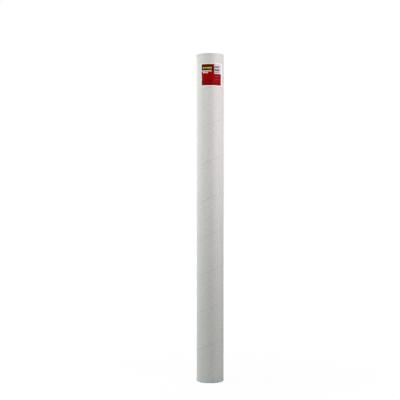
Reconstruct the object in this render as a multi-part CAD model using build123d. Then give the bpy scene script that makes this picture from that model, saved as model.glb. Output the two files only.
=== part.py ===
from build123d import *
import os
from math import asin, cos, degrees, floor, pi, radians, sin, tan

# White cardboard mailing tube, 4 in by 48 in, with a moulded plug in each end.
# It stands upright on its lower plug, whose rim lies in the plane z = 0, and the
# tube's axis is the Z axis. The front of the label faces -Y. All sizes are in mm.

INCH = 25.4

# Tube: plies of paperboard glued into one wall, with a white ply wound round
# the outside at a slant. The edges of its turns don't quite meet, which leaves
# a narrow spiral seam that rises to the right.
tube_outer_d = 4.0 * INCH
tube_wall = 2.0
tube_length = 48.0 * INCH
outer_ply_width = 125.0
outer_ply_thickness = 0.4
outer_seam_gap = 1.0
seam_height_in_front = 143.6

# End plug: a thin moulded cup. Its rim sits on the tube's end and stands out a
# little past it, and its tapered skirt goes inside the tube.
rim_height = 5.0
rim_overhang = 1.0
rim_width = 3.0
rim_chamfer = 0.8
rim_slope = 0.6
flange_thickness = 2.0
skirt_depth = 25.0
skirt_wall = 1.6
skirt_gap = 0.45
skirt_draft = 1.0
lead_in_length = 3.0
lead_in_step = 1.0
floor_thickness = 1.8
cup_corner = 2.0

# Grip ring round the skirt, with a long ramp on the side that goes in first and
# a short back. Both run down into the middle of the skirt's wall.
ring_depth = 10.0
ring_ramp = 3.6
ring_back = 1.4
push_fit_clearance = 0.08

# Gussets between the cup's wall and floor, and the gate mark on the floor.
gusset_count = 8
gusset_thickness = 1.4
gusset_height = 11.0
gusset_reach = 8.0
gate_mark_d = 4.0
gate_mark_height = 0.6

# Label: one paper sticker wrapped round the tube's front near its upper end.
label_width = 91.0
label_height = 85.5
label_thickness = 0.15
label_corner_round = 4.0
label_drop = 32.0
label_turn = 7.0
glue_gap = 0.25

# Places that follow from the sizes above.
FRONT = -90.0
tube_outer_r = tube_outer_d / 2
tube_inner_r = tube_outer_r - tube_wall
tube_foot_z = rim_height
tube_head_z = tube_foot_z + tube_length
label_middle_z = tube_head_z - label_drop - label_height / 2


def winding_lead(radius, strip_pitch):
    """Climb in one turn of a strip that lies edge to edge round a cylinder."""
    circumference = 2 * pi * radius
    slant = asin(strip_pitch / circumference)
    return circumference * tan(slant)


def seam_bars():
    """Spiral bars, one for each turn, that cut the seam between the ply's turns."""
    lead = winding_lead(tube_outer_r, outer_ply_width + outer_seam_gap)
    turns_below = floor((seam_height_in_front - tube_foot_z) / lead) + 1
    turns_above = floor((tube_head_z - seam_height_in_front) / lead) + 1
    path = Helix(lead, lead, tube_outer_r)
    section = Rectangle(2 * outer_ply_thickness, outer_seam_gap)
    start = Plane(path @ 0, x_dir=(1, 0, 0), z_dir=path % 0)
    bar = sweep(start * section, path=path, is_frenet=True)
    first = Pos(0, 0, seam_height_in_front) * Rot(0, 0, FRONT) * bar
    return [Pos(0, 0, turn * lead) * first for turn in range(-turns_below, turns_above)]


def tube_body():
    """Wound tube: one wall, open at both ends, with the seam of its outer ply."""
    outside = Cylinder(tube_outer_r, tube_length, align=(Align.CENTER, Align.CENTER, Align.MIN))
    bore = Cylinder(tube_inner_r, tube_length, align=(Align.CENTER, Align.CENTER, Align.MIN))
    wall = Pos(0, 0, tube_foot_z) * (outside - bore)
    return wall - seam_bars()


def skirt_radius(depth):
    """Radius of the skirt's outside at a depth below the rim's seat."""
    return tube_inner_r - skirt_gap - depth * tan(radians(skirt_draft))


def cup_profile():
    """Half section of the cup, drawn in XZ with the rim's seat at z = 0."""
    rim_r = tube_outer_r + rim_overhang
    lead_in_depth = skirt_depth - lead_in_length
    floor_z = floor_thickness - skirt_depth
    cup_r = skirt_radius(lead_in_depth) - skirt_wall
    corners = [
        (0, -skirt_depth),
        (skirt_radius(lead_in_depth) - lead_in_step, -skirt_depth),
        (skirt_radius(lead_in_depth), -lead_in_depth),
        (skirt_radius(0), 0),
        (rim_r, 0),
        (rim_r, rim_height - rim_chamfer),
        (rim_r - rim_chamfer, rim_height),
        (rim_r - rim_width, rim_height),
        (rim_r - rim_width - rim_slope, flange_thickness),
        (skirt_radius(0) - skirt_wall, flange_thickness),
        (cup_r, floor_z + cup_corner),
        (cup_r - cup_corner, floor_z),
        (0, floor_z),
    ]
    return make_face(Polyline(*[(r, 0, z) for r, z in corners], close=True))


def grip_ring():
    """Ring round the skirt that grips the bore, with a long ramp below its crest."""
    crest_r = tube_inner_r - push_fit_clearance
    root_r = skirt_radius(ring_depth) - skirt_wall / 2
    outline = Polyline(
        (root_r, 0, -ring_depth - ring_ramp),
        (crest_r, 0, -ring_depth),
        (root_r, 0, -ring_depth + ring_back),
        close=True,
    )
    return revolve(make_face(outline), Axis.Z)


def gusset():
    """Thin web that braces the cup's wall against its floor, at +X."""
    floor_z = floor_thickness - skirt_depth
    wall_r = skirt_radius(skirt_depth - lead_in_length) - skirt_wall
    buried = skirt_wall / 2
    outline = Polyline(
        (wall_r + buried, 0, floor_z - floor_thickness / 2),
        (wall_r - gusset_reach, 0, floor_z - floor_thickness / 2),
        (wall_r - gusset_reach, 0, floor_z + gusset_thickness),
        (wall_r, 0, floor_z + gusset_height),
        (wall_r + buried, 0, floor_z + gusset_height),
        close=True,
    )
    return extrude(make_face(outline), gusset_thickness / 2, both=True)


def gate_mark():
    """Short stub left at the middle of the floor by the mould."""
    stub = Cylinder(
        gate_mark_d / 2,
        gate_mark_height + floor_thickness / 2,
        align=(Align.CENTER, Align.CENTER, Align.MIN),
    )
    return Pos(0, 0, floor_thickness / 2 - skirt_depth) * stub


def end_plug():
    """One moulded plug, with its rim's seat at z = 0 and its cup open towards +Z."""
    plug = revolve(cup_profile(), Axis.Z) + grip_ring() + gate_mark()
    step = 360 / gusset_count
    for number in range(gusset_count):
        plug += Rot(0, 0, step * (number + 0.5)) * gusset()
    return plug


def corner_offcut(side, end):
    """What a die trims off one corner of the label: side and end are 1 or -1."""
    face_r = tube_outer_r + glue_gap + label_thickness
    half_turn = degrees((label_width / 2 - label_corner_round) / face_r)
    direction = radians(FRONT + label_turn + side * half_turn)
    outwards = Vector(cos(direction), sin(direction), 0)
    along = Vector(-sin(direction), cos(direction), 0)
    height = label_middle_z + end * (label_height / 2 - label_corner_round)
    centre = Plane(
        outwards * face_r + Vector(0, 0, height),
        x_dir=along * side,
        z_dir=outwards * (side * end),
    )
    square = Rectangle(2 * label_corner_round, 2 * label_corner_round, align=Align.MIN)
    return extrude(centre * (square - Circle(label_corner_round)), label_corner_round, both=True)


def label_sheet():
    """Curved paper label with rounded corners, glued round the tube."""
    back_r = tube_outer_r + glue_gap
    face_r = back_r + label_thickness
    span = degrees(label_width / face_r)
    first = FRONT + label_turn - span / 2
    face_arc = CenterArc((0, 0), face_r, first, span)
    back_arc = CenterArc((0, 0), back_r, first, span)
    sides = [Line(back_arc @ end, face_arc @ end) for end in (0, 1)]
    sheet = extrude(make_face([face_arc, back_arc] + sides), label_height)
    offcuts = [corner_offcut(side, end) for side in (1, -1) for end in (1, -1)]
    return Pos(0, 0, label_middle_z - label_height / 2) * sheet - offcuts


def main():
    """Build each piece in its place and write it out."""
    plug = end_plug()
    pieces = {
        "tube_body": tube_body(),
        "top_plug": Pos(0, 0, tube_head_z) * plug,
        "bottom_plug": Pos(0, 0, tube_foot_z) * Rot(180, 0, 0) * plug,
        "label": label_sheet(),
    }
    os.makedirs("parts", exist_ok=True)
    for name, piece in pieces.items():
        export_step(piece, f"parts/{name}.step")


main()
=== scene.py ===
import logging
import math
from dataclasses import dataclass, field
from enum import Enum
from typing import Sequence, TypeAlias

import bmesh
import bpy
from bpy.types import Material, Mesh, Node, NodeSocket, NodeTree, Object
from mathutils import Matrix, Vector
from mathutils.geometry import intersect_line_line_2d


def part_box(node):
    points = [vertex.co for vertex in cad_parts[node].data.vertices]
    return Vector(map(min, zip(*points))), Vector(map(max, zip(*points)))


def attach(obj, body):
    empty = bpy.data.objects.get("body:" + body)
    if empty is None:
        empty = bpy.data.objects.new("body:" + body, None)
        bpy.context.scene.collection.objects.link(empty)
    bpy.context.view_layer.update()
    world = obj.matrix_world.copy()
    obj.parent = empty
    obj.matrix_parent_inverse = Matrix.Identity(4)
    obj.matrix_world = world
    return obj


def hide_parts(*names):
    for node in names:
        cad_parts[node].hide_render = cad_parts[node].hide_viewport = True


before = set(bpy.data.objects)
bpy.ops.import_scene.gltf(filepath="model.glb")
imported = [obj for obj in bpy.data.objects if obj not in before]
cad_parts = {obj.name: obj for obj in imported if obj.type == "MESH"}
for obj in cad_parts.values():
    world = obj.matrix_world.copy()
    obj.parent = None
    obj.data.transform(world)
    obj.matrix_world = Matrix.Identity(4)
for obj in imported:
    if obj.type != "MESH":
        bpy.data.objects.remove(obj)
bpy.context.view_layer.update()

# White cardboard mailing tube: plies of paperboard wound on the slant, a moulded
# plug in each end and a printed label near the top. Lengths are in metres.
# The tube's axis is Z, and the front of the label faces -Y.

MM = 0.001
TURN = 2 * math.pi
FRONT = math.radians(-90.0)
SHARP_EDGE = math.radians(32.0)
WELD = 0.004 * MM
WHITE = (1.0, 1.0, 1.0, 1.0)
SOCKET_KINDS = {int: "NodeSocketInt", float: "NodeSocketFloat", Material: "NodeSocketMaterial"}
# Places of a Mix node's two colours among its inputs, and of their mix among its outputs.
MIX_FIRST, MIX_SECOND, MIX_RESULT = 6, 7, 2

log = logging.getLogger("mailing_tube")

Colour = tuple[float, float, float]
Value: TypeAlias = "Signal | float"
Outline = list[tuple[float, float]]


class Body(Enum):
    """The bodies that pieces ride on."""

    TUBE = "tube"
    TOP_PLUG = "top_plug"
    BOTTOM_PLUG = "bottom_plug"


class Slot(Enum):
    """The record's material slots."""

    PAPERBOARD = "paperboard"
    PLUG_PLASTIC = "plug_plastic"
    LABEL_PAPER = "label_paper"


class End(Enum):
    """An end of the tube: the sign of its outward direction along Z."""

    TOP = 1
    BOTTOM = -1


class Signal:
    """A socket's value in a node tree, on which Python arithmetic adds Math nodes."""

    def __init__(self, graph: "Graph", socket: NodeSocket) -> None:
        """Hold the output that carries the value, and the graph that new nodes go into."""
        self.graph = graph
        self.socket = socket

    def _math(self, operation: str, *values: Value) -> "Signal":
        """Add one Math node.

        Args:
            operation: Blender's name of the operation.
            values: The operation's inputs in order.

        Returns:
            The node's result.
        """
        inputs = dict(enumerate(values))
        node = self.graph.node("ShaderNodeMath", {"operation": operation}, inputs)
        return Signal(self.graph, node.outputs[0])

    def __add__(self, other: Value) -> "Signal":
        """Sum."""
        return self._math("ADD", self, other)

    def __sub__(self, other: Value) -> "Signal":
        """Difference."""
        return self._math("SUBTRACT", self, other)

    def __rsub__(self, other: float) -> "Signal":
        """Difference with the number first."""
        return self._math("SUBTRACT", other, self)

    def __mul__(self, other: Value) -> "Signal":
        """Product."""
        return self._math("MULTIPLY", self, other)

    __radd__ = __add__
    __rmul__ = __mul__

    def __truediv__(self, other: Value) -> "Signal":
        """Quotient."""
        return self._math("DIVIDE", self, other)

    def __mod__(self, other: Value) -> "Signal":
        """Remainder that is never negative."""
        return self._math("FLOORED_MODULO", self, other)

    def __pow__(self, other: float) -> "Signal":
        """Power."""
        return self._math("POWER", self, other)

    def __abs__(self) -> "Signal":
        """Size without the sign."""
        return self._math("ABSOLUTE", self)

    def sine(self) -> "Signal":
        """Sine of an angle in radians."""
        return self._math("SINE", self)

    def cosine(self) -> "Signal":
        """Cosine of an angle in radians."""
        return self._math("COSINE", self)

    def larger(self, other: Value) -> "Signal":
        """The larger of two values."""
        return self._math("MAXIMUM", self, other)

    def smaller(self, other: Value) -> "Signal":
        """The smaller of two values."""
        return self._math("MINIMUM", self, other)

    def hypot(self, other: "Signal") -> "Signal":
        """Root of the sum of two squares."""
        return (self * self + other * other) ** 0.5

    def unit(self) -> "Signal":
        """The value kept between 0 and 1."""
        return self.larger(0.0).smaller(1.0)


class Graph:
    """A node tree under construction."""

    def __init__(self, tree: NodeTree) -> None:
        """Hold the tree that receives the nodes."""
        self.tree = tree

    def node(
        self,
        kind: str,
        settings: dict[str, object] | None = None,
        inputs: dict[str | int, object] | None = None,
    ) -> Node:
        """Add one node.

        Args:
            kind: Blender's type name.
            settings: The node's own properties, which are set first.
            inputs: Values, signals, nodes or sockets for its inputs, by name or place.

        Returns:
            The new node.
        """
        made = self.tree.nodes.new(kind)
        for key, value in (settings or {}).items():
            setattr(made, key, value)
        for key, value in (inputs or {}).items():
            self.feed(made.inputs[key], value)
        return made

    def feed(self, socket: NodeSocket, value: object) -> None:
        """Give an input its value.

        Args:
            socket: The input.
            value: A signal, a socket or a node's first output to link, or a plain value.
        """
        source = value.socket if isinstance(value, Signal) else value
        source = source.outputs[0] if isinstance(source, Node) else source
        if isinstance(source, NodeSocket):
            self.tree.links.new(source, socket)
        else:
            socket.default_value = source

    def signal(self, node: Node, output: str | int = 0) -> Signal:
        """One output of a node as a signal."""
        return Signal(self, node.outputs[output])

    def parts(self, vector: NodeSocket | Node) -> tuple[Signal, Signal, Signal]:
        """The X, Y and Z of a vector."""
        split = self.node("ShaderNodeSeparateXYZ", inputs={0: vector})
        return self.signal(split, 0), self.signal(split, 1), self.signal(split, 2)

    def vector(self, x: object, y: object, z: object = 0.0) -> NodeSocket:
        """A vector made of three values."""
        return self.node("ShaderNodeCombineXYZ", inputs={0: x, 1: y, 2: z}).outputs[0]


@dataclass(frozen=True)
class Grain:
    """A layer of noise in a finish.

    The scale counts features in each metre, and the octaves say how broken they are.
    Swing, rise and rough are how far the layer moves the colour's brightness, the relief
    and the roughness. A squeeze below 1 draws it out along the first coordinate.
    """

    scale: float
    octaves: float = 2.0
    swing: float = 0.0
    rise: float = 0.0
    rough: float = 0.0
    squeeze: float = 1.0


class Sheet(Graph):
    """A material's shader under construction, with its Principled node ready."""

    def __init__(self, name: str, constants: dict[str, object]) -> None:
        """Make the material.

        Args:
            name: The material's name.
            constants: Values for the Principled node's sockets.
        """
        self.material = bpy.data.materials.new(name)
        self.material.use_nodes = True
        super().__init__(self.material.node_tree)
        self.tree.nodes.clear()
        self.surface = self.node("ShaderNodeBsdfPrincipled", inputs=constants)
        self.out = self.node("ShaderNodeOutputMaterial", inputs={"Surface": self.surface})

    def point(self) -> NodeSocket:
        """The piece's own coordinates, in metres."""
        return self.node("ShaderNodeTexCoord").outputs["Object"]

    def map(self, name: str) -> tuple[Signal, Signal]:
        """The two coordinates of a UV map."""
        across, up, _ = self.parts(self.node("ShaderNodeUVMap", {"uv_map": name}))
        return across, up

    def noise(self, place: NodeSocket, grain: Grain) -> Signal:
        """Even noise from 0 to 1.

        Args:
            place: Where it is read.
            grain: How fine and how drawn out it is.

        Returns:
            The noise.
        """
        drawn = {0: place, 1: (grain.squeeze, 1.0, 1.0)}
        spot = self.node("ShaderNodeVectorMath", {"operation": "MULTIPLY"}, drawn)
        inputs = {"Vector": spot, "Scale": grain.scale, "Detail": grain.octaves}
        return self.signal(self.node("ShaderNodeTexNoise", inputs=inputs))

    def shade(self, colour: object, factor: Signal) -> NodeSocket:
        """Multiply a colour or socket by a factor near 1."""
        scaled = {0: colour, "Scale": factor}
        return self.node("ShaderNodeVectorMath", {"operation": "SCALE"}, scaled).outputs[0]

    def blend(self, share: Signal, first: object, second: object) -> NodeSocket:
        """Mix two colours or sockets, with a share of the second."""
        inputs = {0: share, MIX_FIRST: self.solid(first), MIX_SECOND: self.solid(second)}
        return self.node("ShaderNodeMix", {"data_type": "RGBA"}, inputs).outputs[MIX_RESULT]

    @staticmethod
    def solid(colour: object) -> object:
        """Add the alpha that a colour socket needs to a plain colour."""
        return (*colour, 1.0) if isinstance(colour, tuple) else colour

    def paint(self, colour: object) -> None:
        """Set or link the base colour."""
        self.feed(self.surface.inputs["Base Color"], self.solid(colour))


def placed(name: str, mesh: Mesh) -> Object:
    """An object at the origin that holds a mesh.

    Args:
        name: The piece's name.
        mesh: The mesh, with its place in its vertices.

    Returns:
        The object.
    """
    piece = bpy.data.objects.new(name, mesh)
    mesh.name = name
    bpy.context.scene.collection.objects.link(piece)
    return piece


def evaluated(holder: Object) -> Mesh:
    """What an object's modifiers make of its mesh.

    Args:
        holder: The object with its modifiers.

    Returns:
        A plain mesh.
    """
    graph = bpy.context.evaluated_depsgraph_get()
    return bpy.data.meshes.new_from_object(
        holder.evaluated_get(graph), preserve_all_data_layers=True, depsgraph=graph
    )


class ShapeRecipe(Graph):
    """A Geometry Nodes tree that is run once on a mesh and leaves a plain mesh."""

    def __init__(self, name: str, material: Material, sizes: dict[str, float | int]) -> None:
        """Make the tree with its named inputs.

        Args:
            name: The tree's name.
            material: The finish that it sets.
            sizes: The value of each other input, by name.
        """
        super().__init__(bpy.data.node_groups.new(name, "GeometryNodeTree"))
        interface = self.tree.interface
        for way in ("OUTPUT", "INPUT"):
            interface.new_socket("Geometry", in_out=way, socket_type="NodeSocketGeometry")
        self.values: dict[str, object] = {}
        for label, value in {**sizes, "Material": material}.items():
            kind = SOCKET_KINDS[type(value)]
            socket = interface.new_socket(label, in_out="INPUT", socket_type=kind)
            self.values[socket.identifier] = value
        self.entry = self.node("NodeGroupInput")
        self.exit = self.node("NodeGroupOutput")

    def given(self, label: str) -> Signal:
        """One of the tree's named inputs."""
        return self.signal(self.entry, label)

    def deliver(self, geometry: Node) -> None:
        """End the tree in Realize Instances and Set Material.

        Args:
            geometry: What the tree made.
        """
        real = self.node("GeometryNodeRealizeInstances", inputs={"Geometry": geometry})
        dressing = {"Geometry": real, "Material": self.given("Material")}
        self.feed(self.exit.inputs[0], self.node("GeometryNodeSetMaterial", inputs=dressing))

    def run(self, start: Mesh) -> Mesh:
        """Run the tree on a mesh, which is used up.

        Args:
            start: The mesh that goes in.

        Returns:
            The resulting mesh, with no modifier left.
        """
        holder = placed("recipe_holder", start)
        modifier = holder.modifiers.new("recipe", "NODES")
        modifier.node_group = self.tree
        for identifier, value in self.values.items():
            modifier[identifier] = value
        result = evaluated(holder)
        holder.modifiers.remove(modifier)
        bpy.data.objects.remove(holder)
        bpy.data.meshes.remove(start)
        return result


def rounded(corners: Sequence[tuple[float, float, float]], steps: int = 5) -> Outline:
    """A closed outline with round corners.

    Args:
        corners: Each corner's two coordinates and its rounding radius.
        steps: Segments in each round.

    Returns:
        The outline's points in order.
    """
    points: Outline = []
    for number, (x, y, radius) in enumerate(corners):
        if radius <= 0:
            points.append((x, y))
            continue
        here = Vector((x, y))
        before = (Vector(corners[number - 1][:2]) - here).normalized()
        after = (Vector(corners[(number + 1) % len(corners)][:2]) - here).normalized()
        half = before.angle(after) / 2
        reach = radius / math.tan(half)
        middle = here + (before + after).normalized() * (radius / math.sin(half))
        arm = here + before * reach - middle
        sweep = arm.angle_signed(here + after * reach - middle)
        for step in range(steps + 1):
            point = middle + Matrix.Rotation(-sweep * step / steps, 2) @ arm
            points.append((point.x, point.y))
    return points


def smooth(mesh: Mesh) -> None:
    """Shade a mesh smooth, apart from its sharp edges."""
    mesh.shade_smooth()
    mesh.set_sharp_from_angle(angle=SHARP_EDGE)


def finished_mesh(name: str, work: bmesh.types.BMesh, material: Material) -> Mesh:
    """Make a smooth mesh from closed shells, with its faces outwards.

    Args:
        name: The mesh's name.
        work: The shells, which are used up.
        material: What it is dressed in.

    Returns:
        The mesh.
    """
    bmesh.ops.recalc_face_normals(work, faces=work.faces)
    mesh = bpy.data.meshes.new(name)
    work.to_mesh(mesh)
    work.free()
    mesh.materials.append(material)
    smooth(mesh)
    return mesh


def spun(outline: Outline, segments: int, material: Material) -> Mesh:
    """Turn an outline of radius and height round Z into a closed mesh.

    Args:
        outline: Points that run anticlockwise, with the axis on their left side.
            A closed ring has no point on the axis, and a cup begins and ends on it.
        segments: Steps round the axis.
        material: What it is dressed in.

    Returns:
        The mesh.
    """
    work = bmesh.new()
    angles = [TURN * step / segments for step in range(segments)]
    on_axis = [radius < WELD for radius, _ in outline]
    rings = []
    for (radius, height), pole in zip(outline, on_axis):
        if pole:
            rings.append([work.verts.new((0.0, 0.0, height))] * segments)
            continue
        points = [(radius * math.cos(angle), radius * math.sin(angle), height) for angle in angles]
        rings.append([work.verts.new(point) for point in points])
    spans = list(zip(rings, rings[1:]))
    if not any(on_axis):
        spans.append((rings[-1], rings[0]))
    for lower, upper in spans:
        for step in range(segments):
            following = (step + 1) % segments
            corners = [lower[step], lower[following], upper[following], upper[step]]
            distinct = list(dict.fromkeys(corners))
            if len(distinct) > 2:
                work.faces.new(distinct)
    return finished_mesh("spun", work, material)


def joined(name: str, meshes: Sequence[Mesh]) -> Object:
    """One object made of several meshes, each with its own materials.

    Args:
        name: The piece's name.
        meshes: The meshes.

    Returns:
        The object.
    """
    objects = [placed(f"{name}_{number}", mesh) for number, mesh in enumerate(meshes)]
    with bpy.context.temp_override(
        active_object=objects[0], object=objects[0], selected_editable_objects=objects
    ):
        bpy.ops.object.join()
    whole = objects[0]
    whole.name = name
    whole.data.name = name
    return whole


def settle(piece: Object) -> None:
    """Give an object the mesh that its modifiers make, and drop them.

    Args:
        piece: The object.
    """
    result = evaluated(piece)
    piece.modifiers.clear()
    piece.data = result
    result.name = piece.name


def united(name: str, main: Mesh, other: Mesh) -> Object:
    """Fuse two closed meshes into one closed mesh.

    Args:
        name: The piece's name.
        main: The mesh that the other is fused to.
        other: The mesh to add.

    Returns:
        The object that holds the result.
    """
    base, tool = placed(name, main), placed(f"{name}_tool", other)
    union = base.modifiers.new("union", "BOOLEAN")
    union.operation = "UNION"
    union.solver = "EXACT"
    union.object = tool
    settle(base)
    bpy.data.objects.remove(tool)
    return base


@dataclass(frozen=True)
class Finish:
    """A surface: its shader's constants, and the layers of noise that vary it.

    The layers are read on a named map, turned by the slant. Where no map is named, they
    are read on the piece's own coordinates.
    """

    name: str
    colour: Colour
    roughness: float
    gloss: float
    grains: tuple[Grain, ...]
    relief_depth: float
    relief_strength: float = 1.0
    map_name: str = ""
    slant: float = 0.0
    more: tuple[tuple[str, object], ...] = ()

    def place(self, sheet: Sheet) -> NodeSocket:
        """Where the layers are read.

        Args:
            sheet: The material under construction.

        Returns:
            The coordinates.
        """
        if not self.map_name:
            return sheet.point()
        across, up = sheet.map(self.map_name)
        cos, sin = math.cos(self.slant), math.sin(self.slant)
        return sheet.vector(across * cos + up * sin, up * cos - across * sin)

    def coloured(self, sheet: Sheet, level: Signal) -> NodeSocket:
        """The colour at the brightness that the layers give."""
        return sheet.shade(self.colour, level)

    def material(self) -> Material:
        """Build the finish.

        Returns:
            The material.
        """
        constants = {"Roughness": self.roughness, "Specular IOR Level": self.gloss}
        sheet = Sheet(self.name, {**constants, **dict(self.more)})
        place = self.place(sheet)
        level: Value = 1.0
        height: Value = 0.0
        for grain in self.grains:
            noise = sheet.noise(place, grain)
            level = level + (noise - 0.5) * grain.swing
            height = height + noise * grain.rise
            if grain.rough:
                rough = self.roughness + (noise - 0.5) * grain.rough
                sheet.feed(sheet.surface.inputs["Roughness"], rough)
        relief = {"Strength": self.relief_strength, "Distance": self.relief_depth, "Height": height}
        sheet.feed(sheet.surface.inputs["Normal"], sheet.node("ShaderNodeBump", inputs=relief))
        sheet.paint(self.coloured(sheet, level))
        return sheet.material


@dataclass(frozen=True)
class WhiteFacing(Finish):
    """The white paper outside the tube: faint clouds, nearly level fibres, fine tooth."""

    name: str = "white_facing"
    colour: Colour = (0.735, 0.735, 0.715)
    roughness: float = 0.62
    gloss: float = 0.32
    grains: tuple[Grain, ...] = (
        Grain(14.0, 3.0, swing=0.05),
        Grain(400.0, swing=0.46, rise=0.4, squeeze=0.18),
        Grain(1300.0, swing=0.10, rise=0.35, squeeze=0.1),
        Grain(2600.0, swing=0.10, rise=0.25),
    )
    relief_depth: float = 0.06 * MM
    map_name: str = "strip"
    slant: float = math.radians(8.0)


@dataclass(frozen=True)
class BrownLiner(Finish):
    """The smooth brown paper that lines the bore."""

    name: str = "brown_liner"
    colour: Colour = (0.42, 0.29, 0.17)
    roughness: float = 0.7
    gloss: float = 0.3
    grains: tuple[Grain, ...] = (
        Grain(420.0, 3.0, swing=0.22, rise=1.0, squeeze=0.2),
        Grain(22.0, swing=0.14),
    )
    relief_depth: float = 0.05 * MM
    relief_strength: float = 0.6
    map_name: str = "strip"


@dataclass(frozen=True, kw_only=True)
class Chipboard(Finish):
    """Grey-brown recycled board, with specks, and ply lines across its cut ends."""

    inner_radius: float
    ply: float
    name: str = "chipboard"
    colour: Colour = (0.37, 0.35, 0.31)
    roughness: float = 0.85
    gloss: float = 0.2
    grains: tuple[Grain, ...] = (Grain(900.0, 3.0, swing=0.4, rise=1.0),)
    relief_depth: float = 0.08 * MM
    relief_strength: float = 0.6
    line: Colour = (0.21, 0.19, 0.16)
    line_width: float = 0.16
    line_strength: float = 0.7
    speck: Colour = (0.13, 0.115, 0.09)
    speck_grain: Grain = Grain(1500.0, 1.0)
    speck_level: float = 0.66
    speck_edge: float = 9.0

    def coloured(self, sheet: Sheet, level: Signal) -> NodeSocket:
        """The board with its ply lines and specks.

        Args:
            sheet: The material under construction.
            level: The board's brightness.

        Returns:
            The colour.
        """
        point = sheet.point()
        x, y, _ = sheet.parts(point)
        layer = ((x.hypot(y) - self.inner_radius) / self.ply) % 1.0
        line = (1.0 - abs(layer - 0.5) / self.line_width).unit() * self.line_strength
        lined = sheet.blend(line, sheet.shade(self.colour, level), self.line)
        noise = sheet.noise(point, self.speck_grain)
        specks = ((noise - self.speck_level) * self.speck_edge).unit()
        return sheet.blend(specks, lined, self.speck)


@dataclass(frozen=True)
class PlugPlastic(Finish):
    """Milky moulded plastic with a faint mould grain."""

    roughness: float = 0.37
    gloss: float = 0.45
    grains: tuple[Grain, ...] = (
        Grain(55.0, swing=0.14, rise=0.5),
        Grain(2400.0, rise=0.5, rough=0.14),
    )
    relief_depth: float = 0.03 * MM
    relief_strength: float = 0.5
    more: tuple[tuple[str, object], ...] = (
        ("Subsurface Weight", 0.25),
        ("Subsurface Radius", (2.0 * MM, 2.6 * MM, 3.0 * MM)),
        ("Subsurface Scale", 1.0),
    )


# The two plugs are one plastic, and these are lit and shaded copies of it. The top copy is painted
# paler for the light from above. The bottom copy is painted blue-grey for the shade and the bluish
# reflected light at the foot.
HEAD_LIT_PLUG_PLASTIC = PlugPlastic("milky_plastic", (0.66, 0.69, 0.69))
FOOT_SHADED_PLUG_PLASTIC = PlugPlastic("blue_grey_plastic", (0.46, 0.64, 0.68))


class Ink(Enum):
    """The label's paper and inks, as colours."""

    WHITE = (0.96, 0.985, 0.975)
    LILAC = (0.745, 0.715, 0.75)
    RED = (0.345, 0.001, 0.003)
    BLACK = (0.005, 0.005, 0.006)
    YELLOW = (0.95, 0.64, 0.01)
    WINE = (0.02, 0.001, 0.004)
    ROSE = (0.46, 0.12, 0.14)
    SLATE = (0.05, 0.055, 0.07)


@dataclass(frozen=True)
class Box:
    """A rectangle on the label, in millimetres from its upper left corner."""

    left: float
    right: float
    top: float
    bottom: float


@dataclass(frozen=True)
class BarRow:
    """A row of uneven bars: place, ink, pace in radians for each millimetre, and fill.

    Its shift moves the bars along, and its strength is how much of the ink shows.
    """

    box: Box
    ink: Ink
    pace: float
    fill: float
    shift: float = 0.0
    strength: float = 1.0


@dataclass(frozen=True)
class Stencil:
    """Cuts masks at a place on the label, in millimetres from its left and upper edges."""

    u: Signal
    down: Signal
    edge: float = 0.25
    lozenge_edge: float = 8.0
    bar_edge: float = 4.0
    second_wave_pace: float = 1.618
    second_wave_start: float = 0.7
    second_wave_size: float = 0.8

    def inside(self, box: Box) -> Signal:
        """A mask that is 1 inside a rectangle.

        Args:
            box: The rectangle.

        Returns:
            The mask.
        """
        sideways = abs(self.u - (box.left + box.right) / 2) - (box.right - box.left) / 2
        upright = abs(self.down - (box.top + box.bottom) / 2) - (box.bottom - box.top) / 2
        return (0.5 - sideways.larger(upright) / self.edge).unit()

    def dot(self, across: float, below: float, radius: float) -> Signal:
        """A mask that is 1 inside a circle round a place on the label."""
        away = (self.u - across).hypot(self.down - below)
        return (0.5 - (away - radius) / self.edge).unit()

    def bars(self, row: BarRow) -> Signal:
        """A row of uneven bars: where the sum of two waves stands above a level.

        Args:
            row: The row.

        Returns:
            The mask.
        """
        place = self.u + row.shift
        second = (place * (row.pace * self.second_wave_pace) + self.second_wave_start).sine()
        waves = (place * row.pace).sine() + second * self.second_wave_size
        bars = ((waves + row.fill) * self.bar_edge).unit()
        return self.inside(row.box) * bars * row.strength

    def lozenges(self, row: Box, pitch: float, wide: float) -> Signal:
        """A row of lozenges that fills a rectangle.

        Args:
            row: The rectangle.
            pitch: Distance between the lozenges.
            wide: Width of each.

        Returns:
            The mask.
        """
        shift = (self.u - row.left) % pitch - pitch / 2
        rise = self.down - (row.top + row.bottom) / 2
        shape = abs(shift) / (wide / 2) + abs(rise) / ((row.bottom - row.top) / 2)
        return ((1.0 - shape) * self.lozenge_edge).unit() * self.inside(row)


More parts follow.
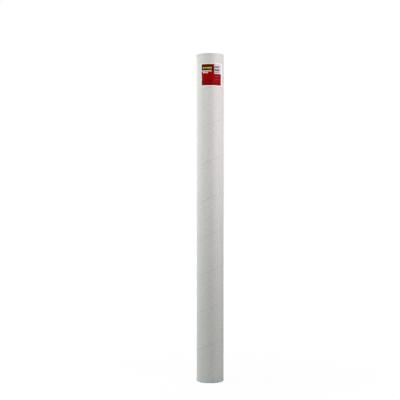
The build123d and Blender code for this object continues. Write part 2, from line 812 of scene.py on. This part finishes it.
@dataclass(frozen=True, kw_only=True)
class LabelPrint(Finish):
    """Printed label paper: a red field inside a white border, with plain figures on it."""

    width: float
    height: float
    name: str = "label_print"
    colour: Colour = Ink.WHITE.value
    roughness: float = 0.5
    gloss: float = 0.03
    grains: tuple[Grain, ...] = (
        Grain(350.0, swing=0.06),
        Grain(1600.0, rise=1.0, rough=0.12),
    )
    relief_depth: float = 0.02 * MM
    relief_strength: float = 0.5
    map_name: str = "label"
    more: tuple[tuple[str, object], ...] = (("Coat Weight", 0.01), ("Coat Roughness", 0.3))
    left_border: float = 4.3
    right_border: float = 6.6
    top_border: float = 3.4
    bottom_border: float = 3.2
    notch_left: float = 54.2
    notch_bottom: float = 39.3
    panel_bottom: float = 37.0
    overrun: float = 1.0
    band: Box = Box(4.3, 48.9, 7.6, 25.4)
    lozenge_row: Box = Box(8.5, 45.5, 12.8, 22.2)
    lozenge_pitch: float = 7.4
    lozenge_width: float = 6.808
    rows: tuple[BarRow, ...] = (
        BarRow(Box(6.8, 43.0, 26.4, 31.2), Ink.WHITE, 1.7, 0.5),
        BarRow(Box(9.6, 30.6, 33.3, 37.1), Ink.WHITE, 1.7, 0.9),
        BarRow(Box(8.0, 47.0, 64.0, 68.6), Ink.WINE, 0.62, 0.9),
        BarRow(Box(8.0, 47.0, 74.2, 78.8), Ink.WINE, 0.62, 0.6),
        BarRow(Box(55.0, 76.3, 11.2, 17.8), Ink.SLATE, 2.3, 0.5),
        BarRow(Box(55.0, 76.3, 22.2, 29.6), Ink.SLATE, 2.3, 1.0),
        BarRow(Box(55.0, 76.3, 33.2, 36.8), Ink.SLATE, 2.3, 0.9),
        BarRow(Box(59.0, 76.5, 48.5, 51.1), Ink.ROSE, 1.15, -0.1, 130.95, 0.8),
        BarRow(Box(59.0, 76.5, 54.0, 56.6), Ink.WINE, 1.15, 0.5, 145.8, 0.8),
        BarRow(Box(59.0, 76.5, 59.5, 62.1), Ink.ROSE, 1.15, -0.1, 160.65, 0.8),
        BarRow(Box(59.0, 76.5, 64.5, 67.1), Ink.WINE, 1.15, 0.2, 174.15, 0.8),
    )
    dots: tuple[tuple[float, float], ...] = ((58.6, 75.4), (70.2, 75.4))
    dot_radius: float = 3.6

    def coloured(self, sheet: Sheet, level: Signal) -> NodeSocket:
        """The print, field over field and figure over figure.

        Args:
            sheet: The material under construction.
            level: The paper's brightness.

        Returns:
            The colour.
        """
        across, up = sheet.map(self.map_name)
        cut = Stencil(across / MM, self.height - up / MM)
        right = self.width - self.right_border
        field_box = Box(self.left_border, right, self.top_border, self.height - self.bottom_border)
        beyond = self.width + self.overrun
        notch = Box(self.notch_left, beyond, -self.overrun, self.notch_bottom)
        panel = Box(self.notch_left, right, self.top_border, self.panel_bottom)
        lozenges = cut.lozenges(self.lozenge_row, self.lozenge_pitch, self.lozenge_width)
        figures = [
            (cut.inside(field_box) * (1.0 - cut.inside(notch)), Ink.RED),
            (cut.inside(panel), Ink.LILAC),
            (cut.inside(self.band), Ink.BLACK),
            (lozenges, Ink.YELLOW),
        ]
        figures += [(cut.bars(row), row.ink) for row in self.rows]
        figures += [(cut.dot(*dot, self.dot_radius), Ink.BLACK) for dot in self.dots]
        colour: object = self.colour
        for mask, ink in figures:
            colour = sheet.blend(mask, colour, ink.value)
        return sheet.shade(colour, level)


@dataclass
class Winding:
    """A strip of paper that is wound on the slant, edge to edge, round the tube.

    The strip is closed: it has an inner and an outer side, and two edges, along which
    the paper rises a little. The rise's profile pairs distances from the edge with shares
    of the full rise.
    """

    name: str
    inner_radius: float
    outer_radius: float
    width: float
    gap: float
    seam_in_front: float
    foot: float
    head: float
    lip: float = 0.0
    outwards: bool = True
    steps_per_turn: int = 128
    end_ease: float = 0.4 * MM
    soft_edge: float = 0.07 * MM
    lip_profile: tuple[tuple[float, float], ...] = (
        (0.07 * MM, 1.0),
        (0.9 * MM, 0.9),
        (2.4 * MM, 0.45),
        (5.0 * MM, 0.0),
    )
    middle_shares: tuple[float, ...] = (0.2, 0.4, 0.6, 0.8)
    wander: float = 0.35 * MM
    wander_rate: float = 2.3
    wander_octaves: float = 3.0
    seed: float = 3.0

    @property
    def girth(self) -> float:
        """Distance round the surface that shows."""
        return TURN * (self.outer_radius if self.outwards else self.inner_radius)

    @property
    def slant(self) -> float:
        """Angle between the strip and the horizontal."""
        return math.asin((self.width + self.gap) / self.girth)

    @property
    def lead(self) -> float:
        """Climb in one turn."""
        return self.girth * math.tan(self.slant)

    @property
    def tall(self) -> float:
        """Height of the strip, measured straight up the tube."""
        return self.width / math.cos(self.slant)

    def section(self) -> list[tuple[float, float, float]]:
        """The strip's section: height, radius of that side, and what the edge adds to it.

        Returns:
            The points in order, and the first once more at the end.
        """
        shown, hidden, sign = self.outer_radius, self.inner_radius, 1.0
        if not self.outwards:
            shown, hidden, sign = hidden, shown, -1.0
        edge = [(0.0, hidden, 0.0), (0.0, shown, -sign * self.soft_edge)]
        edge += [(height, shown, sign * self.lip * share) for height, share in self.lip_profile]
        middle = [(self.tall * share, shown, 0.0) for share in self.middle_shares]
        far = [(self.tall - height, side, extra) for height, side, extra in reversed(edge)]
        return edge + middle + far + [(self.tall / 2, hidden, 0.0), edge[0]]

    def recipe(self, section_points: int, material: Material) -> ShapeRecipe:
        """The tree that winds a section into a strip and trims it square at both ends.

        Args:
            section_points: How many points the section has.
            material: The paper's finish.

        Returns:
            The tree.
        """
        low_edge_in_front = self.seam_in_front + self.gap / math.cos(self.slant) / 2
        start = (self.foot - self.tall - low_edge_in_front) / self.lead
        turns = (self.head - low_edge_in_front) / self.lead - start
        sizes = {
            "Radius": self.girth / TURN,
            "Turns": turns,
            "Columns": round(turns * self.steps_per_turn) + 1,
            "Section Points": section_points,
            "Lead": self.lead,
            "Start Angle": FRONT + start * TURN,
            "Start Height": self.foot - self.tall,
            "Foot": self.foot,
            "Head": self.head,
            "End Ease": self.end_ease,
            "Wander": self.wander,
            "Wander Rate": self.wander_rate,
            "Strip Height": self.tall,
            "Seed": self.seed,
        }
        graph = ShapeRecipe(f"wind_{self.name}", material, sizes)
        node, given = graph.node, graph.given
        counts = {"Vertices X": given("Columns"), "Vertices Y": given("Section Points")}
        grid = node("GeometryNodeMeshGrid", inputs=counts)
        position = node("GeometryNodeInputPosition")
        here, _, _ = graph.parts(position)
        # The quarter keeps the remainder of a whole number clear of rounding.
        index = graph.signal(node("GeometryNodeInputIndex")) + 0.25
        row = index % given("Section Points")
        source = {"Geometry": given("Geometry"), "Value": position, "Index": row}
        sampled = node("GeometryNodeSampleIndex", {"data_type": "FLOAT_VECTOR"}, source)
        lift, side, extra = graph.parts(sampled)

        turned = (here + 0.5) * given("Turns")
        angle = given("Start Angle") + turned * TURN
        spot = turned * given("Wander Rate") + given("Seed")
        waves = {"W": spot, "Scale": 1.0, "Detail": self.wander_octaves}
        noise = graph.signal(node("ShaderNodeTexNoise", {"noise_dimensions": "1D"}, waves))
        edge_share = lift / given("Strip Height")
        shifted = lift + (noise - 0.5) * given("Wander") * edge_share
        height = given("Start Height") + turned * given("Lead") + shifted
        trimmed = height.larger(given("Foot")).smaller(given("Head"))
        from_end = (height - given("Foot")).smaller(given("Head") - height)
        radius = side + extra * (from_end / given("End Ease")).unit()

        unrolled = node(
            "GeometryNodeFieldOnDomain",
            {"data_type": "FLOAT_VECTOR", "domain": "POINT"},
            {0: graph.vector(angle * given("Radius"), trimmed)},
        )
        mapped = node(
            "GeometryNodeStoreNamedAttribute",
            {"data_type": "FLOAT2", "domain": "CORNER"},
            {"Geometry": grid, "Name": "strip", "Value": unrolled},
        )
        place = graph.vector(radius * angle.cosine(), radius * angle.sine(), trimmed)
        moved = node("GeometryNodeSetPosition", inputs={"Geometry": mapped, "Position": place})
        welding = {"Geometry": moved, "Distance": WELD}
        graph.deliver(node("GeometryNodeMergeByDistance", inputs=welding))
        return graph

    def mesh(self, material: Material) -> Mesh:
        """Wind the strip.

        Args:
            material: The paper's finish.

        Returns:
            The strip's mesh, without faces that have no area.
        """
        section = self.section()
        points = bpy.data.meshes.new("section")
        points.from_pydata(section, [], [])
        wound = self.recipe(len(section), material).run(points)
        work = bmesh.new()
        work.from_mesh(wound)
        bmesh.ops.dissolve_degenerate(work, edges=work.edges, dist=WELD)
        return finished_mesh(self.name, work, material)


@dataclass
class PaperTube:
    """The wound tube: a board core between a white facing and a brown liner."""

    foot: float
    head: float
    radius: float
    wall: float = 2.0 * MM
    facing: float = 0.4 * MM
    facing_width: float = 125.45 * MM
    seam_gap: float = 0.55 * MM
    seam_in_front: float = 143.6 * MM
    seam_lip: float = 0.07 * MM
    liner: float = 0.3 * MM
    liner_width: float = 121.0 * MM
    liner_gap: float = 0.8 * MM
    liner_seam_in_front: float = 61.0 * MM
    liner_steps: int = 96
    liner_seed: float = 11.0
    core_plies: int = 4
    end_ease: float = 0.12 * MM
    ease_steps: int = 2
    segments: int = 192
    outer: Winding = field(init=False)
    inner: Winding = field(init=False)

    def __post_init__(self) -> None:
        """Lay out the two paper strips on the core."""
        bore = self.radius - self.wall
        self.outer = Winding(
            name="facing",
            inner_radius=self.radius - self.facing,
            outer_radius=self.radius,
            width=self.facing_width,
            gap=self.seam_gap,
            seam_in_front=self.seam_in_front,
            foot=self.foot,
            head=self.head,
            lip=self.seam_lip,
        )
        self.inner = Winding(
            name="liner",
            inner_radius=bore,
            outer_radius=bore + self.liner,
            width=self.liner_width,
            gap=self.liner_gap,
            seam_in_front=self.liner_seam_in_front,
            foot=self.foot,
            head=self.head,
            outwards=False,
            steps_per_turn=self.liner_steps,
            seed=self.liner_seed,
        )

    def core(self, material: Material) -> Mesh:
        """The board between the papers, with its cut ends.

        Args:
            material: The board's finish.

        Returns:
            The mesh.
        """
        inside = self.inner.outer_radius
        outside = self.outer.inner_radius
        ease = self.end_ease
        outline = rounded(
            [
                (inside, self.foot, ease),
                (outside, self.foot, ease),
                (outside, self.head, ease),
                (inside, self.head, ease),
            ],
            steps=self.ease_steps,
        )
        return spun(outline, self.segments, material)

    def build(self) -> Object:
        """Build the tube and put it on its body.

        Returns:
            The piece.
        """
        ply = (self.wall - self.facing - self.liner) / self.core_plies
        board = Chipboard(inner_radius=self.inner.outer_radius, ply=ply).material()
        meshes = [
            self.core(board),
            self.outer.mesh(WhiteFacing().material()),
            self.inner.mesh(BrownLiner().material()),
        ]
        piece = joined("wound_tube", meshes)
        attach(piece, Body.TUBE.value)
        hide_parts("tube_body")
        return piece


@dataclass
class EndPlug:
    """A moulded cup that closes one end: rim, flange, tapered skirt, floor and gussets."""

    end: End
    plastic: PlugPlastic
    seat: float
    rim_radius: float
    tube_radius: float
    wall: float = 2.0 * MM
    rim_height: float = 5.0 * MM
    rim_width: float = 3.0 * MM
    rim_slope: float = 0.6 * MM
    seat_round: float = 0.25 * MM
    rim_round: float = 0.9 * MM
    inner_round: float = 0.5 * MM
    ledge_round: float = 0.6 * MM
    flange: float = 2.0 * MM
    mouth_round: float = 0.7 * MM
    skirt_depth: float = 25.0 * MM
    skirt_wall: float = 1.6 * MM
    skirt_gap: float = 0.45 * MM
    draft: float = math.radians(1.0)
    lead_in_length: float = 3.0 * MM
    lead_in_step: float = 1.0 * MM
    lead_in_round: float = 0.8 * MM
    toe_round: float = 0.5 * MM
    floor: float = 1.8 * MM
    cup_corner: float = 2.4 * MM
    ring_depth: float = 10.0 * MM
    ring_ramp: float = 3.6 * MM
    ring_back: float = 1.4 * MM
    ring_round: float = 0.12 * MM
    fit: float = 0.08 * MM
    gussets: int = 8
    gusset_thickness: float = 1.4 * MM
    gusset_height: float = 11.0 * MM
    gusset_reach: float = 8.0 * MM
    gate_radius: float = 2.0 * MM
    gate_height: float = 0.6 * MM
    gate_round: float = 0.2 * MM
    segments: int = 192

    @property
    def bore(self) -> float:
        """The tube's inner radius."""
        return self.tube_radius - self.wall

    @property
    def floor_top(self) -> float:
        """Height of the cup's floor above the seat, which is negative."""
        return self.floor - self.skirt_depth

    def skirt(self, depth: float) -> float:
        """The skirt's outer radius at a depth below the seat."""
        return self.bore - self.skirt_gap - depth * math.tan(self.draft)

    def outline(self) -> Outline:
        """Half section of the cup with its seat at height 0, from axis to axis.

        Returns:
            Points as radius and height.
        """
        lead_in = self.skirt_depth - self.lead_in_length
        cup = self.skirt(lead_in) - self.skirt_wall
        wall = [Vector((self.skirt(depth), -depth)) for depth in (0.0, self.skirt_depth)]
        root = self.skirt(self.ring_depth) - self.skirt_wall / 2
        crest = Vector((self.bore - self.fit, -self.ring_depth))
        # Where the ring's two slopes come out of the skirt.
        ramp, back = (
            intersect_line_line_2d(Vector((root, crest.y + reach)), crest, *wall)
            for reach in (-self.ring_ramp, self.ring_back)
        )
        top, rim = self.rim_height, self.rim_radius
        # Radius, height and how much the corner is rounded.
        corners = [
            (0.0, -self.skirt_depth, 0.0),
            (self.skirt(lead_in) - self.lead_in_step, -self.skirt_depth, self.toe_round),
            (self.skirt(lead_in), -lead_in, self.lead_in_round),
            (*ramp, 0.0),
            (*crest, self.ring_round),
            (*back, 0.0),
            (self.skirt(0.0), 0.0, 0.0),
            (rim, 0.0, self.seat_round),
            (rim, top, self.rim_round),
            (rim - self.rim_width, top, self.inner_round),
            (rim - self.rim_width - self.rim_slope, self.flange, self.ledge_round),
            (self.skirt(0.0) - self.skirt_wall, self.flange, self.mouth_round),
            (cup, self.floor_top, self.cup_corner),
            (self.gate_radius, self.floor_top, self.gate_round),
            (self.gate_radius, self.floor_top + self.gate_height, self.gate_round),
            (0.0, self.floor_top + self.gate_height, 0.0),
        ]
        return rounded(corners)

    def gusset(self) -> Mesh:
        """The web at +X that braces the cup's wall against its floor.

        Returns:
            The mesh.
        """
        wall = self.skirt(self.skirt_depth - self.lead_in_length) - self.skirt_wall
        buried = self.skirt_wall / 2
        low = self.floor_top - self.floor / 2
        side = [
            (wall + buried, low),
            (wall - self.gusset_reach, low),
            (wall - self.gusset_reach, self.floor_top + self.gusset_thickness),
            (wall, self.floor_top + self.gusset_height),
            (wall + buried, self.floor_top + self.gusset_height),
        ]
        half, count = self.gusset_thickness / 2, len(side)
        points = [(radius, y, height) for y in (-half, half) for radius, height in side]
        faces = [list(reversed(range(count))), list(range(count, 2 * count))]
        for here in range(count):
            after = (here + 1) % count
            faces.append([here, after, after + count, here + count])
        mesh = bpy.data.meshes.new("gusset")
        mesh.from_pydata(points, [], faces)
        return mesh

    def gusset_ring(self, material: Material) -> Mesh:
        """All the gussets, spread evenly round the cup.

        Args:
            material: The plastic.

        Returns:
            The mesh.
        """
        sizes = {"Count": self.gussets, "Step": TURN / self.gussets}
        graph = ShapeRecipe("ring_of_gussets", material, sizes)
        points = graph.node("GeometryNodePoints", inputs={"Count": graph.given("Count")})
        index = graph.signal(graph.node("GeometryNodeInputIndex"))
        turn = (index + 0.5) * graph.given("Step")
        spread = {
            "Points": points,
            "Instance": graph.given("Geometry"),
            "Rotation": graph.vector(0.0, 0.0, turn),
        }
        graph.deliver(graph.node("GeometryNodeInstanceOnPoints", inputs=spread))
        return graph.run(self.gusset())

    def build(self) -> Object:
        """Build the plug and put it on its body.

        Returns:
            The piece.
        """
        name, body, node = "top_end_plug", Body.TOP_PLUG, "top_plug"
        if self.end is End.BOTTOM:
            name, body, node = "bottom_end_plug", Body.BOTTOM_PLUG, "bottom_plug"
        plastic = self.plastic.material()
        cup = spun(self.outline(), self.segments, plastic)
        piece = united(name, cup, self.gusset_ring(plastic))
        for vertex in piece.data.vertices:
            x, y, z = vertex.co
            vertex.co = (x, y * self.end.value, self.seat + z * self.end.value)
        smooth(piece.data)
        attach(piece, body.value)
        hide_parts(node)
        return piece


@dataclass
class WrapLabel:
    """The printed paper label, glued round the front of the tube."""

    low: float
    high: float
    tube_radius: float
    winding: Winding
    width: float = 91.0 * MM
    thickness: float = 0.15 * MM
    stand_off: float = 0.03 * MM
    corner: float = 4.0 * MM
    turn: float = math.radians(7.0)
    dent: float = 0.10 * MM
    dent_width: float = 1.3 * MM
    columns: int = 110
    rows: int = 92

    def seam_distance(self, angle: float, height: float) -> float:
        """Height between a point and the nearest turn of the seam below the label.

        Args:
            angle: The point's direction round the axis.
            height: Its height.

        Returns:
            The distance.
        """
        seam = self.winding.seam_in_front + (angle - FRONT) / TURN * self.winding.lead
        away = (height - seam) / self.winding.lead
        return abs(away - round(away)) * self.winding.lead

    def inset(self, v: float) -> float:
        """How far the round corners cut into the label.

        Args:
            v: Height above the label's lower edge.

        Returns:
            The depth of the cut on each side.
        """
        tall = self.high - self.low
        into = self.corner - min(v, tall - v)
        if into <= 0:
            return 0.0
        return self.corner - math.sqrt(max(self.corner**2 - into**2, 0.0))

    def sheet(self) -> Mesh:
        """The label's face: a fine grid that carries its own map and dips over the seam.

        Returns:
            The mesh.
        """
        tall = self.high - self.low
        face = self.tube_radius + self.stand_off + self.thickness
        work = bmesh.new()
        print_map = work.loops.layers.uv.new("label")
        flat: dict[bmesh.types.BMVert, tuple[float, float]] = {}
        grid = []
        for row in range(self.rows + 1):
            v = tall * (1 - math.cos(math.pi * row / self.rows)) / 2
            cut = self.inset(v)
            line = []
            for column in range(self.columns + 1):
                u = cut + (self.width - 2 * cut) * column / self.columns
                angle = FRONT + self.turn + (u - self.width / 2) / face
                seam = self.seam_distance(angle, self.low + v)
                radius = face - self.dent * math.exp(-((seam / self.dent_width) ** 2))
                point = (radius * math.cos(angle), radius * math.sin(angle), self.low + v)
                vertex = work.verts.new(point)
                flat[vertex] = (u, v)
                line.append(vertex)
            grid.append(line)
        for lower, upper in zip(grid, grid[1:]):
            for column in range(self.columns):
                corners = [lower[column], lower[column + 1], upper[column + 1], upper[column]]
                for loop in work.faces.new(corners).loops:
                    loop[print_map].uv = flat[loop.vert]
        mesh = bpy.data.meshes.new("label_sheet")
        work.to_mesh(mesh)
        work.free()
        return mesh

    def build(self) -> Object:
        """Build the label and put it on the tube's body.

        Returns:
            The piece.
        """
        mesh = self.sheet()
        label_print = LabelPrint(width=self.width / MM, height=(self.high - self.low) / MM)
        mesh.materials.append(label_print.material())
        piece = placed("printed_label", mesh)
        thicken = piece.modifiers.new("paper", "SOLIDIFY")
        thicken.thickness = self.thickness
        thicken.offset = -1.0
        settle(piece)
        smooth(piece.data)
        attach(piece, Body.TUBE.value)
        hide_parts("label")
        return piece


@dataclass(frozen=True)
class Softbox:
    """One large lamp that faces the tube."""

    name: str
    azimuth: float
    distance: float
    height: float
    aim_height: float
    wide: float
    tall: float
    power: float
    tint: Colour = (1.0, 1.0, 1.0)

    def place(self) -> None:
        """Add the lamp to the scene. Azimuth 0 is in front of the tube, and 90 is at +X."""
        data = bpy.data.lights.new(self.name, "AREA")
        data.shape = "RECTANGLE"
        data.size, data.size_y = self.wide, self.tall
        data.energy = self.power
        data.color = self.tint
        lamp = bpy.data.objects.new(self.name, data)
        angle = math.radians(self.azimuth)
        lamp.location = (
            self.distance * math.sin(angle),
            -self.distance * math.cos(angle),
            self.height,
        )
        aim = Vector((0.0, 0.0, self.aim_height)) - lamp.location
        lamp.rotation_euler = aim.to_track_quat("-Z", "Y").to_euler()
        bpy.context.scene.collection.objects.link(lamp)


@dataclass
class Studio:
    """The pale floor, the lamps, the white surroundings and the camera."""

    focal_length: float = 76.21
    sensor: float = 36.0
    camera_away: float = 3.2
    camera_height: float = 0.7311
    camera_aside: float = -0.03843
    camera_pitch: float = math.radians(-0.861)
    view_depth: float = 100.0
    floor_size: float = 30.0
    floor_colour: Colour = (0.515, 0.575, 0.54)
    floor_roughness: float = 0.9
    surround: float = 0.08
    glow: float = 1.03
    glow_share: float = 0.93
    shadow_reach: float = 0.4
    shadow_fade: float = 1.2
    softboxes: tuple[Softbox, ...] = (
        Softbox("left_softbox", -85.0, 1.4, 1.12, 0.9, 0.6, 0.8, 17.0, (0.985, 1.0, 0.97)),
        Softbox("right_softbox", 47.0, 1.1, 1.1, 1.0, 0.5, 0.7, 10.0, (1.0, 0.94, 0.962)),
        Softbox("back_softbox", 180.0, 1.9, 1.2, 0.8, 1.6, 1.4, 13.2),
        Softbox("overhead_softbox", 0.0, 0.0, 2.9, 0.9, 1.6, 1.6, 20.0),
    )

    def floor(self) -> None:
        """Lay the floor, which the camera sees as near white with the tube's shadow."""
        half = self.floor_size / 2
        mesh = bpy.data.meshes.new("studio_floor")
        corners = [(-half, -half, 0.0), (half, -half, 0.0), (half, half, 0.0), (-half, half, 0.0)]
        mesh.from_pydata(corners, [], [(0, 1, 2, 3)])
        matt = {"Roughness": self.floor_roughness, "Specular IOR Level": 0.0}
        sheet = Sheet("studio_floor", matt)
        sheet.paint(self.floor_colour)
        sheet.feed(sheet.out.inputs["Surface"], self.glowing(sheet))
        mesh.materials.append(sheet.material)
        placed("studio_floor", mesh)

    def seen(self, graph: Graph) -> Signal:
        """Tell apart the rays that see the background from those that light the tube.

        Args:
            graph: The tree under construction.

        Returns:
            1 for the camera's rays and those in a gloss or clear surface, else 0.
        """
        path = graph.node("ShaderNodeLightPath")
        kinds = ("Is Camera Ray", "Is Glossy Ray", "Is Transmission Ray")
        camera, gloss, clear = (graph.signal(path, kind) for kind in kinds)
        return camera.larger(gloss).larger(clear)

    def glowing(self, sheet: Sheet) -> Node:
        """The floor's shader: mostly white glow for what sees it, plain floor for the rest.

        Args:
            sheet: The floor's material under construction.

        Returns:
            The shader.
        """
        glow = sheet.node("ShaderNodeEmission", inputs={"Color": WHITE, "Strength": self.glow})
        x, y, _ = sheet.parts(sheet.point())
        away = ((x.hypot(y) - self.shadow_reach) / self.shadow_fade).unit()
        share = self.seen(sheet) * (self.glow_share + away * (1.0 - self.glow_share))
        return sheet.node("ShaderNodeMixShader", inputs={0: share, 1: sheet.surface, 2: glow})

    def surroundings(self) -> None:
        """White to the camera, and a low even light on the tube."""
        world = bpy.data.worlds.new("studio")
        world.use_nodes = True
        bpy.context.scene.world = world
        graph = Graph(world.node_tree)
        graph.tree.nodes.clear()
        strength = self.surround + self.seen(graph) * (1.0 - self.surround)
        back = graph.node("ShaderNodeBackground", inputs={"Color": WHITE, "Strength": strength})
        graph.node("ShaderNodeOutputWorld", inputs={"Surface": back})

    def camera(self) -> None:
        """Set the camera at the photograph's place."""
        data = bpy.data.cameras.new("camera")
        data.lens = self.focal_length
        data.sensor_width = self.sensor
        data.clip_end = self.view_depth
        camera = bpy.data.objects.new("camera", data)
        camera.location = (self.camera_aside, -self.camera_away, self.camera_height)
        camera.rotation_euler = (math.pi / 2 + self.camera_pitch, 0.0, 0.0)
        bpy.context.scene.collection.objects.link(camera)
        bpy.context.scene.camera = camera

    def build(self) -> None:
        """Set up the whole studio."""
        self.camera()
        self.floor()
        self.surroundings()
        for softbox in self.softboxes:
            softbox.place()
        bpy.context.scene.view_settings.view_transform = "Standard"


def write_sizes() -> None:
    """Update the view layer, so that every piece's place is current.
    """
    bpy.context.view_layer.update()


def main() -> None:
    """Build the studio and every piece in order."""
    logging.basicConfig(level=logging.INFO, format="%(name)s: %(message)s")
    Studio().build()
    tube_low, tube_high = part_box("tube_body")
    plug_low, plug_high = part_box("top_plug")
    label_low, label_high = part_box("label")
    tube_radius = (tube_high.x - tube_low.x) / 2
    rim_radius = (plug_high.x - plug_low.x) / 2

    tube = PaperTube(tube_low.z, tube_high.z, tube_radius)
    pieces = [
        tube.build(),
        # The two plugs' colours are painted light and painted shade on one plastic.
        EndPlug(End.TOP, HEAD_LIT_PLUG_PLASTIC, tube_high.z, rim_radius, tube_radius).build(),
        EndPlug(End.BOTTOM, FOOT_SHADED_PLUG_PLASTIC, tube_low.z, rim_radius, tube_radius).build(),
        WrapLabel(label_low.z, label_high.z, tube_radius, tube.outer).build(),
    ]
    for piece in pieces:
        log.info("%s: %d faces", piece.name, len(piece.data.polygons))
    write_sizes()


if __name__ == "__main__":
    main()
